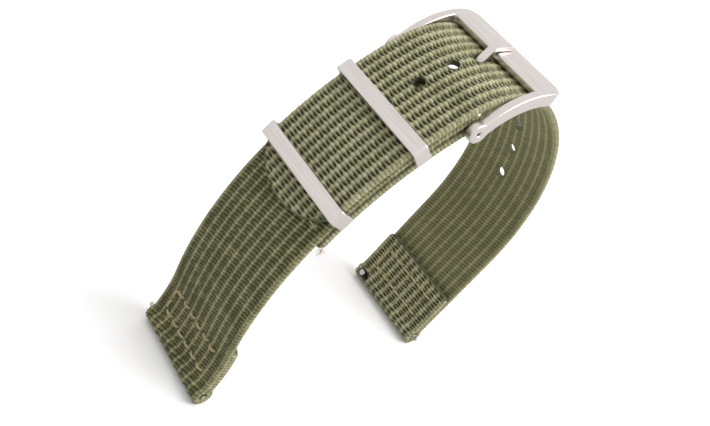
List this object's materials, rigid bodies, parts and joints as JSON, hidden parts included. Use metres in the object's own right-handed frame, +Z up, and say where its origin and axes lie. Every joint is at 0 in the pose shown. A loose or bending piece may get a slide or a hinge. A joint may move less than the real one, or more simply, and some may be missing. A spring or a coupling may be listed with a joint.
{
  "type": "webbing watch strap",
  "caption": "Two-piece ribbed webbing watch strap buckled into a loop, with an arched pin buckle, flat metal keepers and quick-release lug bars.",
  "frame": {"origin": "On the table, below the middle of the buckled loop.", "axes": "+X from the buckle piece's lug end to the hole piece's lug end, +Y across the webbing towards the release knobs, +Z up."},
  "size_m": [0.0692, 0.026, 0.073],
  "materials": {
    "webbing": "ribbed matt weave",
    "thread": "twisted thread",
    "satin_steel": "satin brushed",
    "bar_steel": "turned satin",
    "spring_steel": "drawn wire"
  },
  "bodies": {
    "strap": {"short_strap": "webbing", "long_strap": "webbing", "short_lug_stitching": "thread", "long_lug_stitching": "thread", "keeper_stitching": "thread", "buckle_pin_tube": "bar_steel", "buckle_pin_spring": "spring_steel", "short_bar_tube": "bar_steel", "short_bar_fixed_tip": "bar_steel", "short_bar_spring": "spring_steel", "long_bar_tube": "bar_steel", "long_bar_fixed_tip": "bar_steel", "long_bar_spring": "spring_steel"},
    "buckle": {"buckle_frame": "satin_steel"},
    "tongue": {"buckle_tongue": "satin_steel"},
    "rear_keeper": {"rear_keeper": "satin_steel"},
    "front_keeper": {"front_keeper": "satin_steel"},
    "short_release": {"short_bar_release_tip": "bar_steel", "short_bar_knob": "bar_steel"},
    "long_release": {"long_bar_release_tip": "bar_steel", "long_bar_knob": "bar_steel"},
    "pin_near_tip": {"buckle_pin_near_tip": "bar_steel"},
    "pin_far_tip": {"buckle_pin_far_tip": "bar_steel"}
  },
  "joints": [
    {"name": "buckle_hinge", "type": "hinge", "parent": "strap", "child": "buckle", "pos_m": [-0.00154, 0, 0.06417], "axis": [0, -1, 0], "range_deg": [-0.5, 3]},
    {"name": "tongue_hinge", "type": "hinge", "parent": "buckle", "child": "tongue", "pos_m": [-0.00154, 0, 0.06417], "axis": [0, -1, 0], "range_deg": [0, 3]},
    {"name": "rear_keeper_slide", "type": "slide", "parent": "strap", "child": "rear_keeper", "axis": [0.5286, 0, 0.8489], "range_m": [-0.0018, 0.0018]},
    {"name": "front_keeper_slide", "type": "slide", "parent": "strap", "child": "front_keeper", "axis": [0.7206, 0, 0.6933], "range_m": [-0.0018, 0.0018]},
    {"name": "short_release_slide", "type": "slide", "parent": "strap", "child": "short_release", "axis": [0, -1, 0], "range_m": [0, 0.0013], "stiffness_N_per_m": 600, "springref_m": -0.001, "deforming": ["short_bar_spring"]},
    {"name": "long_release_slide", "type": "slide", "parent": "strap", "child": "long_release", "axis": [0, -1, 0], "range_m": [0, 0.0013], "stiffness_N_per_m": 600, "springref_m": -0.001, "deforming": ["long_bar_spring"]},
    {"name": "pin_near_tip_slide", "type": "slide", "parent": "strap", "child": "pin_near_tip", "axis": [0, 1, 0], "range_m": [0, 0.0013], "stiffness_N_per_m": 600, "springref_m": -0.001, "deforming": ["buckle_pin_spring"]},
    {"name": "pin_far_tip_slide", "type": "slide", "parent": "strap", "child": "pin_far_tip", "axis": [0, -1, 0], "range_m": [0, 0.0013], "stiffness_N_per_m": 600, "springref_m": -0.001, "deforming": ["buckle_pin_spring"]}
  ]
}
